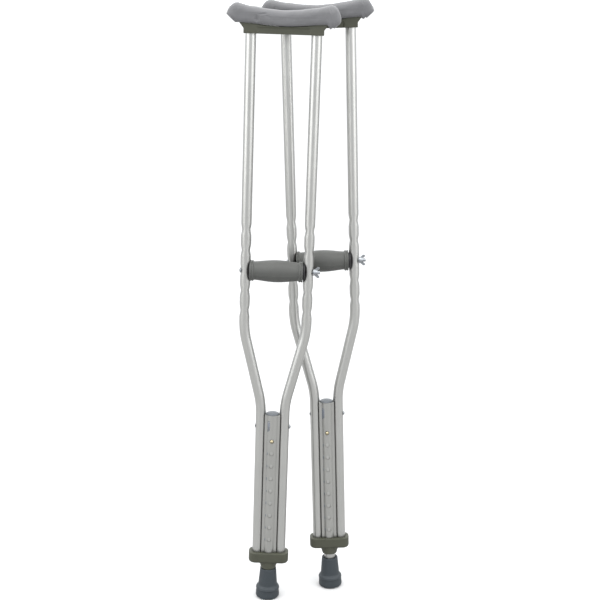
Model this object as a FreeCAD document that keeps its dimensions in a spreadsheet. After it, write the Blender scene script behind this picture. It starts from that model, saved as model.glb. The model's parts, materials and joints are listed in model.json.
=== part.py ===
import FreeCAD, Part
import math
import os

import Sketcher
from FreeCAD import Placement, Rotation, Vector

# A pair of height-adjustable underarm crutches. Each crutch is built in its own frame: the origin is
# the centre of the tip's sole with the leg pushed in, +Z runs up the crutch, X runs from the bolt side
# (-X) to the nut side (+X), and -Y is the front. A stance then stands the two crutches side by side.

SIZES = {
    # side tubes
    "tube_diameter": 19.05,
    "tube_wall": 1.5,
    "upper_spacing": 115.6,
    "lower_spacing": 44.9,
    "tube_foot_height": 81.0,
    "bend_start_height": 378.0,
    "bend_radius": 170.0,
    "bend_angle": 14.0,
    "tube_top_height": 1095.0,
    # pinched grip holes
    "grip_height": 656.0,
    "grip_hole_pitch": 38.1,
    "grip_hole_diameter": 6.8,
    "pinch_depth": 1.5,
    "pinch_radius": 26.0,
    # centre sleeve
    "sleeve_diameter": 25.4,
    "sleeve_bore": 22.35,
    "sleeve_foot_height": 85.0,
    "sleeve_top_height": 378.5,
    "fin_reach": 14.4,
    "fin_half_depth": 9.0,
    "fin_edge": 9.0,
    "fin_inner_depth": 5.5,
    "groove_width": 0.7,
    "groove_depth": 0.7,
    "tube_gap": 0.2,
    "button_height": 327.0,
    "leg_hole_pitch": 25.4,
    "leg_hole_count": 9,
    "sleeve_hole_diameter": 8.2,
    # sleeve cap
    "cap_edge": 1.2,
    "cap_dome": 3.6,
    "cap_plug_length": 7.0,
    "cap_plug_wall": 1.6,
    "cap_plug_play": 0.05,
    # cross bolt
    "cross_bolt_height": 354.0,
    "cross_bolt_diameter": 4.8,
    "cross_hole_diameter": 5.0,
    "cross_head_diameter": 8.0,
    "cross_head_length": 1.4,
    "cross_thread_end": 1.2,
    "cross_nut_diameter": 8.6,
    "cross_nut_length": 3.2,
    "cross_nut_flange": 1.0,
    "cross_nut_shoulder": 0.8,
    # yoke
    "yoke_width": 77.2,
    "yoke_depth": 33.0,
    "yoke_bottom_height": 75.0,
    "yoke_top_height": 96.5,
    "yoke_corner": 13.0,
    "yoke_edge": 5.0,
    "yoke_top_edge": 1.2,
    "yoke_bore_play": 0.1,
    "collar_root": 2.0,
    "collar_diameter": 29.2,
    "collar_bottom_height": 61.5,
    # leg
    "leg_diameter": 22.2,
    "leg_wall": 1.5,
    "leg_foot_height": 8.0,
    "leg_top_height": 347.0,
    "leg_hole_diameter": 7.3,
    # snap buttons and their spring
    "button_diameter": 7.1,
    "button_flange_diameter": 9.0,
    "button_flange": 0.7,
    "button_out": 15.3,
    "button_dome": 2.6,
    "spring_reach": 7.6,
    "spring_thickness": 0.6,
    "spring_width": 6.6,
    "spring_top": 7.0,
    "spring_length": 26.0,
    # rubber tip
    "tip_height": 60.8,
    "tip_top_radius": 15.5,
    "tip_shoulder_radius": 18.4,
    "tip_shoulder_height": 24.5,
    "tip_base_radius": 23.0,
    "tip_base_height": 20.3,
    "tip_edge_radius": 4.5,
    "tip_ring_height": 17.6,
    "tip_ring_depth": 0.5,
    "tip_lip_radius": 1.0,
    "washer_thickness": 1.5,
    # handgrip
    "grip_half_length": 49.5,
    "grip_ring_radius": 18.5,
    "grip_ring_width": 7.5,
    "grip_waist_radius": 17.2,
    "grip_belly_radius": 20.5,
    "grip_core_radius": 12.0,
    "grip_core_half_length": 44.0,
    "cup_spigot_radius": 14.8,
    "cup_rim_radius": 18.0,
    "cup_rim_gap": 0.2,
    "cup_end": 50.9,
    "cup_chamfer": 0.8,
    "cup_tube_gap": 0.3,
    "rubber_tube_gap": 0.6,
    "grip_ring_slope": 1.0,
    "grip_bore": 7.0,
    # grip bolt, washer and wing nut
    "grip_bolt_diameter": 6.3,
    "grip_bolt_end": 79.5,
    "bolt_head_seat": 66.4,
    "bolt_head_diameter": 10.5,
    "bolt_head_length": 2.8,
    "thread_chamfer": 0.6,
    "grip_washer_seat": 66.85,
    "grip_washer_thickness": 1.05,
    "grip_washer_diameter": 13.0,
    "wing_bore": 6.4,
    "wing_hub_radius": 5.6,
    "wing_hub_top_radius": 4.3,
    "wing_hub_length": 7.0,
    "wing_span": 20.5,
    "wing_rise": 10.8,
    "wing_thickness": 2.6,
    "wing_ear_radius": 2.4,
    "wing_root": 0.4,
    "wing_heel": 0.8,
    "wing_inset": 0.6,
    "wing_hub_step": 0.3,
    "wing_tip_drop": 1.92,
    # saddle
    "saddle_bottom_height": 1081.0,
    "saddle_half_width": 70.3,
    "saddle_side_height": 1090.0,
    "saddle_flare": 78.0,
    "saddle_tip_height": 1102.5,
    "saddle_mid_height": 1094.0,
    "saddle_curve_radius": 330.0,
    "saddle_depth": 31.0,
    "saddle_recess": 1.2,
    "saddle_recess_foot": 11.0,
    "saddle_recess_height": 20.0,
    "saddle_flare_edge": 3.0,
    "saddle_socket_edge": 45.5,
    # underarm pad
    "pad_depth": 42.0,
    "pad_half_length": 99.0,
    "pad_mid_top": 1122.6,
    "pad_end_top": 1134.0,
    "pad_top_radius": 302.0,
    "pad_gap": 0.3,
    "pad_heel_inset": 12.0,
    "pad_heel_rise": 3.0,
    "pad_cheek_inset": 3.0,
    "pad_cheek_rise": 11.0,
    "pad_tip_rise": 18.0,
    "pad_lip_play": 1.0,
    "pad_shoulder_drop": 1.0,
    "pad_cheek_droop": 0.8,
    "pad_tip_droop": 0.6,
    "pad_brow_inset": 2.5,
    "pad_brow_drop": 6.0,
    "pad_crown_inset": 10.0,
    "pad_shoulder_inset": 22.0,
    "left_pad_droop": 9.0,
    # stance of the pair
    "stance_half_width": 62.6,
    "stance_half_depth": 23.4,
    "stance_lean": 1.71,
    "right_leg_drop": 9.5,
}

doc = FreeCAD.newDocument("UnderarmCrutches")
sheet = doc.addObject("Spreadsheet::Sheet", "Sizes")
for row, (alias, value) in enumerate(SIZES.items(), start=1):
    sheet.set(f"A{row}", alias)
    sheet.set(f"B{row}", str(value))
    sheet.setAlias(f"B{row}", alias)
doc.recompute()


class Size:
    """A number that keeps the sheet formula it comes from, so that arithmetic gives both."""

    def __init__(self, number, formula=None):
        self.number = float(number)
        self.formula = repr(float(number)) if formula is None else formula

    def combine(self, other, sign, number):
        return Size(number, f"({self.formula} {sign} {other.formula})")

    def __add__(self, other):
        other = as_size(other)
        return self.combine(other, "+", self.number + other.number)

    def __sub__(self, other):
        other = as_size(other)
        return self.combine(other, "-", self.number - other.number)

    def __mul__(self, other):
        other = as_size(other)
        return self.combine(other, "*", self.number * other.number)

    def __truediv__(self, other):
        other = as_size(other)
        return self.combine(other, "/", self.number / other.number)

    def __radd__(self, other):
        return as_size(other) + self

    def __rsub__(self, other):
        return as_size(other) - self

    def __rmul__(self, other):
        return as_size(other) * self

    def __neg__(self):
        return as_size(0.0) - self


def as_size(value):
    return value if isinstance(value, Size) else Size(value)


def cell(alias):
    return Size(sheet.get(alias), f"Sizes.{alias}")


def sine(angle):
    return Size(math.sin(math.radians(angle.number)), f"sin({angle.formula} * 1 deg)")


def cosine(angle):
    return Size(math.cos(math.radians(angle.number)), f"cos({angle.formula} * 1 deg)")


def bind(item, name, value):
    """Set a property, and keep it bound to its formula in the sheet."""
    value = as_size(value)
    item.setExpression(name, value.formula)


# ---------------------------------------------------------------- sketches and features

def new_body(name):
    body = doc.addObject("PartDesign::Body", name)
    body.Label = name
    return body


def origin_item(body, role):
    return next(item for item in body.Origin.OriginFeatures if item.Role == role)


def new_sketch(body, plane, offset=0.0):
    sketch = body.newObject("Sketcher::SketchObject", body.Name + "_sketch")
    sketch.AttachmentSupport = [(origin_item(body, plane), "")]
    sketch.MapMode = "FlatFace"
    bind(sketch, "AttachmentOffset.Base.z", offset)
    return sketch


def pin_point(sketch, geometry, end, x, y):
    """Hold a point of the sketch at (x, y), both bound to the sheet."""
    for kind, axis, value in (("DistanceX", -2, as_size(x)), ("DistanceY", -1, as_size(y))):
        if value.number == 0.0:
            sketch.addConstraint(Sketcher.Constraint("PointOnObject", geometry, end, axis))
        else:
            index = sketch.addConstraint(Sketcher.Constraint(kind, -1, 1, geometry, end, value.number))
            sketch.setExpression(f"Constraints[{index}]", value.formula)


def add_circle(sketch, radius, x=0.0, y=0.0):
    radius, x, y = as_size(radius), as_size(x), as_size(y)
    circle = Part.Circle(Vector(x.number, y.number, 0), Vector(0, 0, 1), radius.number)
    geometry = sketch.addGeometry(circle, False)
    index = sketch.addConstraint(Sketcher.Constraint("Radius", geometry, radius.number))
    sketch.setExpression(f"Constraints[{index}]", radius.formula)
    pin_point(sketch, geometry, 3, x, y)


def arc_between(start, end, radius):
    """The short arc that turns anticlockwise from start to end."""
    half = (end - start) * 0.5
    outwards = Vector(half.y, -half.x, 0).normalize()
    sagitta = radius - math.sqrt(radius * radius - half.Length * half.Length)
    return Part.Arc(start, start + half + outwards * sagitta, end)


def add_outline(sketch, corners, closed=True):
    """Lines and arcs from corner to corner.

    A corner is (x, y), or (x, y, radius) to reach it by an arc, clockwise if the radius is negative.
    """
    points = [Vector(as_size(c[0]).number, as_size(c[1]).number, 0) for c in corners]
    steps = range(0 if closed else 1, len(corners))
    ends = {}
    for step in steps:
        start, end = points[step - 1], points[step]
        before, here = (step - 1) % len(corners), step
        if len(corners[step]) == 3:
            radius = as_size(corners[step][2])
            forward = radius.number > 0
            size = radius if forward else -radius
            curve = arc_between(start, end, size.number) if forward else arc_between(end, start, size.number)
            geometry = sketch.addGeometry(curve, False)
            index = sketch.addConstraint(Sketcher.Constraint("Radius", geometry, size.number))
            sketch.setExpression(f"Constraints[{index}]", size.formula)
        else:
            geometry = sketch.addGeometry(Part.LineSegment(start, end), False)
            forward = True
        first, last = (1, 2) if forward else (2, 1)
        for corner, vertex in ((before, (geometry, first)), (here, (geometry, last))):
            if corner in ends:
                sketch.addConstraint(Sketcher.Constraint("Coincident", *ends[corner], *vertex))
            else:
                ends[corner] = vertex
                pin_point(sketch, *vertex, *corners[corner][:2])


def add_box(sketch, x_low, x_high, y_low, y_high):
    add_outline(sketch, [(x_low, y_low), (x_high, y_low), (x_high, y_high), (x_low, y_high)])


def pad_up(body, sketch, length):
    pad = body.newObject("PartDesign::Pad", body.Name + "_pad")
    pad.Profile = sketch
    bind(pad, "Length", length)
    return pad


def pad_both_ways(body, sketch, length):
    pad = pad_up(body, sketch, length)
    pad.Midplane = True
    return pad


def cut_both_ways(body, sketch, length):
    pocket = body.newObject("PartDesign::Pocket", body.Name + "_pocket")
    pocket.Profile = sketch
    pocket.Midplane = True
    bind(pocket, "Length", length)
    return pocket


def cut_down(body, sketch, length):
    pocket = body.newObject("PartDesign::Pocket", body.Name + "_pocket")
    pocket.Profile = sketch
    bind(pocket, "Length", length)
    return pocket


def revolve(body, corners):
    """Turn a closed outline of (radius, height) corners about the body's Z axis."""
    sketch = new_sketch(body, "XZ_Plane")
    add_outline(sketch, corners)
    turn = body.newObject("PartDesign::Revolution", body.Name + "_turn")
    turn.Profile = sketch
    turn.ReferenceAxis = (sketch, ["V_Axis"])
    turn.Angle = 360.0
    return turn


def repeat_along_z(body, feature, length, count):
    pattern = body.newObject("PartDesign::LinearPattern", body.Name + "_row")
    pattern.Originals = [feature]
    pattern.Direction = (origin_item(body, "Z_Axis"), [""])
    pattern.Reversed = True
    bind(pattern, "Length", length)
    bind(pattern, "Occurrences", count)
    body.Tip = pattern
    return pattern


def round_edges(body, feature, wanted, radius):
    """Fillet the edges of a feature whose shape passes the wanted test."""
    doc.recompute()
    names = [f"Edge{n}" for n, edge in enumerate(feature.Shape.Edges, start=1) if wanted(edge)]
    fillet = body.newObject("PartDesign::Fillet", body.Name + "_fillet")
    fillet.Base = (feature, names)
    bind(fillet, "Radius", radius)
    return fillet


def is_upright(edge):
    box = edge.BoundBox
    return box.ZLength > 1.0 and box.XLength < 1e-3 and box.YLength < 1e-3


def is_level_at(height):
    return lambda edge: edge.BoundBox.ZLength < 1e-3 and abs(edge.BoundBox.ZMin - height) < 1e-3


# ---------------------------------------------------------------- stance

class Crutch:
    """One crutch of the pair: its name, its side, how low its leg sits and how its pad's end droops."""

    def __init__(self, prefix, side, leg_drop, pad_droop):
        self.prefix = prefix
        self.leg_drop = leg_drop
        self.pad_droop = pad_droop
        lean = math.radians(cell("stance_lean").number)
        edge = cell("tip_edge_radius").number
        rim = cell("tip_base_radius").number - edge
        sole_lift = rim * math.sin(lean) + edge * (1 - math.cos(lean))
        base = Vector(
            side * cell("stance_half_width").number,
            side * cell("stance_half_depth").number,
            sole_lift + leg_drop.number * math.cos(lean),
        )
        turn = Rotation(Vector(0, 1, 0), -side * cell("stance_lean").number)
        self.stance = Placement(base, turn)
        self.parts = []

    def name(self, piece):
        return f"{self.prefix}_{piece}"

    def add(self, item, local=None):
        """Stand a finished sub-part in the crutch's stance."""
        item.Placement = self.stance if local is None else self.stance.multiply(local)
        self.parts.append(item)


def along(direction, x=0.0, y=0.0, z=0.0):
    """A placement that turns a piece's own Z axis to a direction and moves it to a point."""
    return Placement(Vector(x, y, z), Rotation(Vector(0, 0, 1), direction))


# ---------------------------------------------------------------- side tubes

def tube_path():
    """Corners of the side tube's centre line at the nut side: straight, S-bend outwards, straight."""
    radius, angle = cell("bend_radius"), cell("bend_angle")
    low, high = cell("lower_spacing") / 2, cell("upper_spacing") / 2
    start = cell("bend_start_height")
    arc_out, arc_up = radius * (1 - cosine(angle)), radius * sine(angle)
    slant_out = high - low - 2 * arc_out
    slant_up = slant_out * cosine(angle) / sine(angle)
    return [
        (low, start),
        (low + arc_out, start + arc_up, -radius),
        (high - arc_out, start + arc_up + slant_up),
        (high, start + 2 * arc_up + slant_up, radius),
    ]


def tube_bar(name, side, radius, overrun):
    """A solid bar along the tube's centre line, running past both ends by overrun."""
    bends = [(side * c[0], *c[1:2], *(side * r for r in c[2:])) for c in tube_path()]
    foot = (bends[0][0], cell("tube_foot_height") - overrun)
    top = (bends[-1][0], cell("tube_top_height") + overrun)
    body = new_body(name)
    path = new_sketch(body, "XZ_Plane")
    add_outline(path, [foot, *bends, top], closed=False)
    section = new_sketch(body, "XY_Plane", foot[1])
    add_circle(section, radius, foot[0])
    pipe = body.newObject("PartDesign::AdditivePipe", name + "_pipe")
    pipe.Profile = section
    pipe.Spine = (path, [f"Edge{n}" for n in range(1, 6)])
    return body


def pinch_tools(name, centre, shift):
    """Rollers across the tube that press both its sides flat at every grip hole."""
    radius = cell("pinch_radius")
    reach = cell("tube_diameter") / 2 - cell("pinch_depth") + radius - shift
    width = cell("tube_diameter") * 2
    rollers = []
    for step in range(-2, 3):
        for side in (-1, 1):
            roller = doc.addObject("Part::Cylinder", name + "_roller")
            bind(roller, "Radius", radius)
            bind(roller, "Height", width)
            roller.Placement.Rotation = Rotation(Vector(0, 0, 1), Vector(0, -1, 0))
            bind(roller, "Placement.Base.x", centre + side * reach)
            bind(roller, "Placement.Base.y", width / 2)
            bind(roller, "Placement.Base.z", cell("grip_height") + step * cell("grip_hole_pitch"))
            rollers.append(roller)
    tools = doc.addObject("Part::Compound", name + "_rollers")
    tools.Links = rollers
    return tools


def cross_drill(name, centre, diameter, height):
    """A drill across the tube, along X."""
    drill = doc.addObject("Part::Cylinder", name)
    length = cell("tube_diameter") * 2
    bind(drill, "Radius", diameter / 2)
    bind(drill, "Height", length)
    drill.Placement.Rotation = Rotation(Vector(0, 0, 1), Vector(1, 0, 0))
    bind(drill, "Placement.Base.x", centre - length / 2)
    bind(drill, "Placement.Base.z", height)
    return drill


def cut(name, base, tool):
    result = doc.addObject("Part::Cut", name)
    result.Base = base
    result.Tool = tool
    result.Label = name
    return result


def side_tube(crutch, piece, side):
    name = crutch.name(piece)
    wall, radius = cell("tube_wall"), cell("tube_diameter") / 2
    upper, lower = side * cell("upper_spacing") / 2, side * cell("lower_spacing") / 2
    outside = cut(name + "_outside", tube_bar(name + "_bar", side, radius, 0.0),
                  pinch_tools(name + "_outer", upper, 0.0))
    inside = cut(name + "_inside", tube_bar(name + "_hollow", side, radius - wall, 1.0),
                 pinch_tools(name + "_inner", upper, wall))
    drills = [
        cross_drill(f"{name}_grip_drill", upper, cell("grip_hole_diameter"),
                    cell("grip_height") + step * cell("grip_hole_pitch"))
        for step in range(-2, 3)
    ]
    drills.append(
        cross_drill(name + "_cross_drill", lower, cell("cross_hole_diameter"), cell("cross_bolt_height"))
    )
    tools = doc.addObject("Part::Compound", name + "_tools")
    tools.Links = [inside, *drills]
    crutch.add(cut(name, outside, tools))


# ---------------------------------------------------------------- sleeve, cap and cross bolt

def centre_sleeve(crutch):
    body = new_body(crutch.name("centre_sleeve"))
    foot, top = cell("sleeve_foot_height"), cell("sleeve_top_height")
    height = top - foot
    barrel = new_sketch(body, "XY_Plane", foot)
    add_circle(barrel, cell("sleeve_diameter") / 2)
    pad_up(body, barrel, height)
    fins = new_sketch(body, "XY_Plane", foot)
    reach, deep = cell("fin_reach"), cell("fin_half_depth")
    add_box(fins, -reach, reach, -deep, deep)
    pad_up(body, fins, height)
    hollows = new_sketch(body, "XY_Plane", top)
    tube_way = cell("tube_diameter") / 2 + cell("tube_gap")
    for side in (-1, 1):
        add_circle(hollows, tube_way, side * cell("lower_spacing") / 2)
    add_circle(hollows, cell("sleeve_bore") / 2)
    cut_down(body, hollows, height)
    grooves = new_sketch(body, "XY_Plane", top)
    width, depth, edge = cell("groove_width"), cell("groove_depth"), cell("fin_edge")
    for side in (-1, 1):
        for face in (-1, 1):
            add_box(grooves, side * edge, side * (edge + width), face * (deep - depth), face * (deep + depth))
    cut_down(body, grooves, height)
    button_hole = new_sketch(body, "XZ_Plane")
    add_circle(button_hole, cell("sleeve_hole_diameter") / 2, 0.0, cell("button_height") - crutch.leg_drop)
    holes = cut_both_ways(body, button_hole, cell("sleeve_diameter") * 2)
    count = cell("leg_hole_count")
    repeat_along_z(body, holes, cell("leg_hole_pitch") * (count - 1), count)
    bolt_hole = new_sketch(body, "YZ_Plane")
    add_circle(bolt_hole, cell("cross_hole_diameter") / 2, 0.0, cell("cross_bolt_height"))
    cut_both_ways(body, bolt_hole, cell("fin_reach") * 4)
    crutch.add(body)


def sleeve_cap(crutch):
    body = new_body(crutch.name("sleeve_cap"))
    seat, edge, dome = cell("sleeve_top_height"), cell("cap_edge"), cell("cap_dome")
    rim = cell("sleeve_diameter") / 2
    plug = cell("sleeve_bore") / 2 - cell("cap_plug_play")
    hollow = plug - cell("cap_plug_wall")
    dome_radius = (rim * rim + dome * dome) / (2 * dome)
    revolve(body, [
        (0.0, seat), (hollow, seat), (hollow, seat - cell("cap_plug_length")),
        (plug, seat - cell("cap_plug_length")), (plug, seat), (rim, seat), (rim, seat + edge),
        (0.0, seat + edge + dome, dome_radius),
    ])
    crutch.add(body)


def cross_bolt(crutch):
    body = new_body(crutch.name("cross_bolt"))
    half = (cell("lower_spacing") + cell("tube_diameter")) / 2
    shank, head = cell("cross_bolt_diameter") / 2, cell("cross_head_diameter") / 2
    length = cell("cross_head_length")
    thread = half + cell("cross_thread_end")
    dome_radius = (head * head + length * length) / (2 * length)
    revolve(body, [
        (0.0, -half - length), (head, -half, dome_radius), (shank, -half), (shank, thread), (0.0, thread),
    ])
    crutch.add(body, along(Vector(1, 0, 0), z=cell("cross_bolt_height").number))


def cross_nut(crutch):
    body = new_body(crutch.name("cross_nut"))
    half = (cell("lower_spacing") + cell("tube_diameter")) / 2
    bore, rim = cell("cross_bolt_diameter") / 2, cell("cross_nut_diameter") / 2
    length, flange = cell("cross_nut_length"), cell("cross_nut_flange")
    thread = half + cell("cross_thread_end")
    crown, dome = rim - cell("cross_nut_shoulder"), length - flange
    dome_radius = (crown * crown + dome * dome) / (2 * dome)
    revolve(body, [
        (bore, half), (rim, half), (rim, half + flange), (crown, half + flange),
        (0.0, half + length, dome_radius), (0.0, thread), (bore, thread),
    ])
    crutch.add(body, along(Vector(1, 0, 0), z=cell("cross_bolt_height").number))


# ---------------------------------------------------------------- yoke

def yoke(crutch):
    body = new_body(crutch.name("yoke"))
    bottom, top = cell("yoke_bottom_height"), cell("yoke_top_height")
    half_width, half_depth = cell("yoke_width") / 2, cell("yoke_depth") / 2
    block = new_sketch(body, "XY_Plane", bottom)
    add_box(block, -half_width, half_width, -half_depth, half_depth)
    band = pad_up(body, block, top - bottom)
    rounded = round_edges(body, band, is_upright, cell("yoke_corner"))
    softened = round_edges(body, rounded, is_level_at(bottom.number), cell("yoke_edge"))
    round_edges(body, softened, is_level_at(top.number), cell("yoke_top_edge"))
    ring = new_sketch(body, "XY_Plane", cell("collar_bottom_height"))
    add_circle(ring, cell("collar_diameter") / 2)
    pad_up(body, ring, bottom - cell("collar_bottom_height") + cell("collar_root"))
    bore = new_sketch(body, "XY_Plane", top)
    add_circle(bore, cell("leg_diameter") / 2 + cell("yoke_bore_play"))
    cut_down(body, bore, top - cell("collar_bottom_height"))
    sockets = new_sketch(body, "XY_Plane", top)
    for side in (-1, 1):
        add_circle(sockets, cell("tube_diameter") / 2, side * cell("lower_spacing") / 2)
    cut_down(body, sockets, top - cell("tube_foot_height"))
    seat_depth = top - cell("sleeve_foot_height")
    round_seat = new_sketch(body, "XY_Plane", top)
    add_circle(round_seat, cell("sleeve_diameter") / 2)
    cut_down(body, round_seat, seat_depth)
    fin_seat = new_sketch(body, "XY_Plane", top)
    add_box(fin_seat, -cell("fin_reach"), cell("fin_reach"), -cell("fin_half_depth"), cell("fin_half_depth"))
    cut_down(body, fin_seat, seat_depth)
    crutch.add(body)


# ---------------------------------------------------------------- leg, buttons, spring and tip

def leg_tube(crutch):
    body = new_body(crutch.name("leg_tube"))
    ring = new_sketch(body, "XY_Plane", cell("leg_foot_height") - crutch.leg_drop)
    add_circle(ring, cell("leg_diameter") / 2)
    add_circle(ring, cell("leg_diameter") / 2 - cell("leg_wall"))
    pad_up(body, ring, cell("leg_top_height") - cell("leg_foot_height"))
    hole = new_sketch(body, "XZ_Plane")
    add_circle(hole, cell("leg_hole_diameter") / 2, 0.0, cell("button_height") - crutch.leg_drop)
    cut_both_ways(body, hole, cell("leg_diameter") * 2)
    crutch.add(body)


def snap_button(crutch, piece, facing):
    body = new_body(crutch.name(piece))
    base, shank = cell("spring_reach"), cell("button_diameter") / 2
    flange, lip = cell("button_flange_diameter") / 2, cell("button_flange")
    out, dome = cell("button_out"), cell("button_dome")
    dome_radius = (shank * shank + dome * dome) / (2 * dome)
    revolve(body, [
        (0.0, base), (flange, base), (flange, base + lip), (shank, base + lip), (shank, out - dome),
        (0.0, out, dome_radius),
    ])
    height = cell("button_height").number - crutch.leg_drop.number
    crutch.add(body, along(Vector(0, facing, 0), z=height))


def button_spring(crutch):
    body = new_body(crutch.name("button_spring"))
    outer = cell("spring_reach")
    inner = outer - cell("spring_thickness")
    top = cell("button_height") - crutch.leg_drop + cell("spring_top")
    low = top - cell("spring_top") - cell("spring_length")
    strip = new_sketch(body, "YZ_Plane")
    add_outline(strip, [
        (-outer, top), (-outer, low), (0.0, low - outer, outer), (outer, low, outer), (outer, top),
        (inner, top), (inner, low), (0.0, low - inner, -inner), (-inner, low, -inner), (-inner, top),
    ])
    pad_both_ways(body, strip, cell("spring_width"))
    crutch.add(body)


def rubber_tip(crutch):
    body = new_body(crutch.name("rubber_tip"))
    sole = -crutch.leg_drop
    base, edge = cell("tip_base_radius"), cell("tip_edge_radius")
    bore = cell("leg_diameter") / 2
    seat = sole + cell("leg_foot_height") - cell("washer_thickness")
    ring, top = sole + cell("tip_ring_height"), sole + cell("tip_height")
    depth, lip = cell("tip_ring_depth"), cell("tip_lip_radius")
    shoulder = sole + cell("tip_shoulder_height")
    revolve(body, [
        (0.0, sole), (base - edge, sole), (base, sole + edge, edge),
        (base, ring), (base - depth, ring + depth), (base, ring + depth * 2),
        (base, sole + cell("tip_base_height")), (cell("tip_shoulder_radius"), shoulder),
        (cell("tip_top_radius"), top - lip), (cell("tip_top_radius") - lip, top, lip),
        (bore, top), (bore, seat), (0.0, seat),
    ])
    crutch.add(body)


def tip_washer(crutch):
    body = new_body(crutch.name("tip_washer"))
    seat = cell("leg_foot_height") - cell("washer_thickness") - crutch.leg_drop
    disc = new_sketch(body, "XY_Plane", seat)
    add_circle(disc, cell("leg_diameter") / 2 - 0.1)
    add_circle(disc, cell("grip_bolt_diameter") / 2)
    pad_up(body, disc, cell("washer_thickness"))
    crutch.add(body)


# ---------------------------------------------------------------- handgrip

def across(crutch, body, side=1):
    """Lay a piece whose own Z axis is the grip's length along the crutch's X axis, at grip height."""
    turn = Rotation(Vector(0, 0, -1), Vector(0, 1, 0), Vector(1, 0, 0), "ZYX")
    flip = Rotation(Vector(0, 1, 0), 0 if side > 0 else 180)
    lift = Placement(Vector(0, 0, cell("grip_height").number), flip)
    crutch.add(body, lift.multiply(Placement(Vector(0, 0, 0), turn)))


def cut_tube_way(body, gap, sides):
    """Hollow the ends of a grip piece where the side tubes pass, along its own X axis."""
    way = new_sketch(body, "YZ_Plane")
    for side in sides:
        add_circle(way, cell("tube_diameter") / 2 + gap, 0.0, side * cell("upper_spacing") / 2)
    cut_both_ways(body, way, cell("tube_diameter") * 4)


def grip_rubber(crutch):
    body = new_body(crutch.name("grip_rubber"))
    end, ring = cell("grip_half_length"), cell("grip_ring_radius")
    waist, belly = cell("grip_waist_radius"), cell("grip_belly_radius")
    step, slope = end - cell("grip_ring_width"), cell("grip_ring_slope")
    swell = belly - waist
    belly_radius = (step * step + swell * swell) / (2 * swell)
    core, spigot = cell("grip_core_radius"), cell("cup_spigot_radius")
    pocket = cell("grip_core_half_length")
    revolve(body, [
        (spigot, -end), (ring, -end), (ring, -step - slope), (waist, -step), (belly, 0.0, belly_radius),
        (waist, step, belly_radius), (ring, step + slope), (ring, end), (spigot, end), (spigot, pocket),
        (core, pocket), (core, -pocket), (spigot, -pocket),
    ])
    cut_tube_way(body, cell("rubber_tube_gap"), (-1, 1))
    across(crutch, body)


def grip_core(crutch):
    body = new_body(crutch.name("grip_core"))
    half = cell("grip_core_half_length")
    ring = new_sketch(body, "XY_Plane", -half)
    add_circle(ring, cell("grip_core_radius"))
    add_circle(ring, cell("grip_bore") / 2)
    pad_up(body, ring, half * 2)
    across(crutch, body)


def end_cup(crutch, piece, side):
    body = new_body(crutch.name(piece))
    start, end = cell("grip_core_half_length"), cell("cup_end")
    lip = cell("grip_half_length") + cell("cup_rim_gap")
    bore, spigot, rim = cell("grip_bore") / 2, cell("cup_spigot_radius"), cell("cup_rim_radius")
    chamfer = cell("cup_chamfer")
    revolve(body, [
        (bore, start), (spigot, start), (spigot, lip), (rim, lip), (rim, end - chamfer),
        (rim - chamfer, end), (bore, end),
    ])
    cut_tube_way(body, cell("cup_tube_gap"), (1,))
    across(crutch, body, side)


def grip_bolt(crutch):
    body = new_body(crutch.name("grip_bolt"))
    seat, end = -cell("bolt_head_seat"), cell("grip_bolt_end")
    shank, head = cell("grip_bolt_diameter") / 2, cell("bolt_head_diameter") / 2
    length, chamfer = cell("bolt_head_length"), cell("thread_chamfer")
    dome_radius = (head * head + length * length) / (2 * length)
    revolve(body, [
        (0.0, seat - length), (head, seat, dome_radius), (shank, seat), (shank, end - chamfer),
        (shank - chamfer, end), (0.0, end),
    ])
    across(crutch, body)


def grip_washer(crutch):
    body = new_body(crutch.name("grip_washer"))
    disc = new_sketch(body, "XY_Plane", cell("grip_washer_seat"))
    add_circle(disc, cell("grip_washer_diameter") / 2)
    add_circle(disc, cell("grip_hole_diameter") / 2)
    pad_up(body, disc, cell("grip_washer_thickness"))
    across(crutch, body)


def wing_nut(crutch):
    body = new_body(crutch.name("wing_nut"))
    seat = cell("grip_washer_seat") + cell("grip_washer_thickness")
    hub, hub_top, length = cell("wing_hub_radius"), cell("wing_hub_top_radius"), cell("wing_hub_length")
    bore, reach, rise = cell("wing_bore") / 2, cell("wing_span") / 2, cell("wing_rise")
    ear, heel, inset = cell("wing_ear_radius"), cell("wing_heel"), cell("wing_inset")
    root = bore + cell("wing_root")
    wings = new_sketch(body, "XZ_Plane")
    for side in (-1, 1):
        add_outline(wings, [
            (side * root, seat + heel), (side * (hub - cell("wing_hub_step")), seat + heel),
            (side * (reach - inset), seat + rise - 2 * ear), (side * reach, seat + rise - ear, side * ear),
            (side * (reach - ear), seat + rise, side * ear),
            (side * (reach - 2 * ear), seat + rise - cell("wing_tip_drop")),
            (side * root, seat + length - heel / 2),
        ])
    pad_both_ways(body, wings, cell("wing_thickness"))
    revolve(body, [(bore, seat), (hub, seat), (hub_top, seat + length), (bore, seat + length)])
    across(crutch, body)


# ---------------------------------------------------------------- saddle and pad

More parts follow.
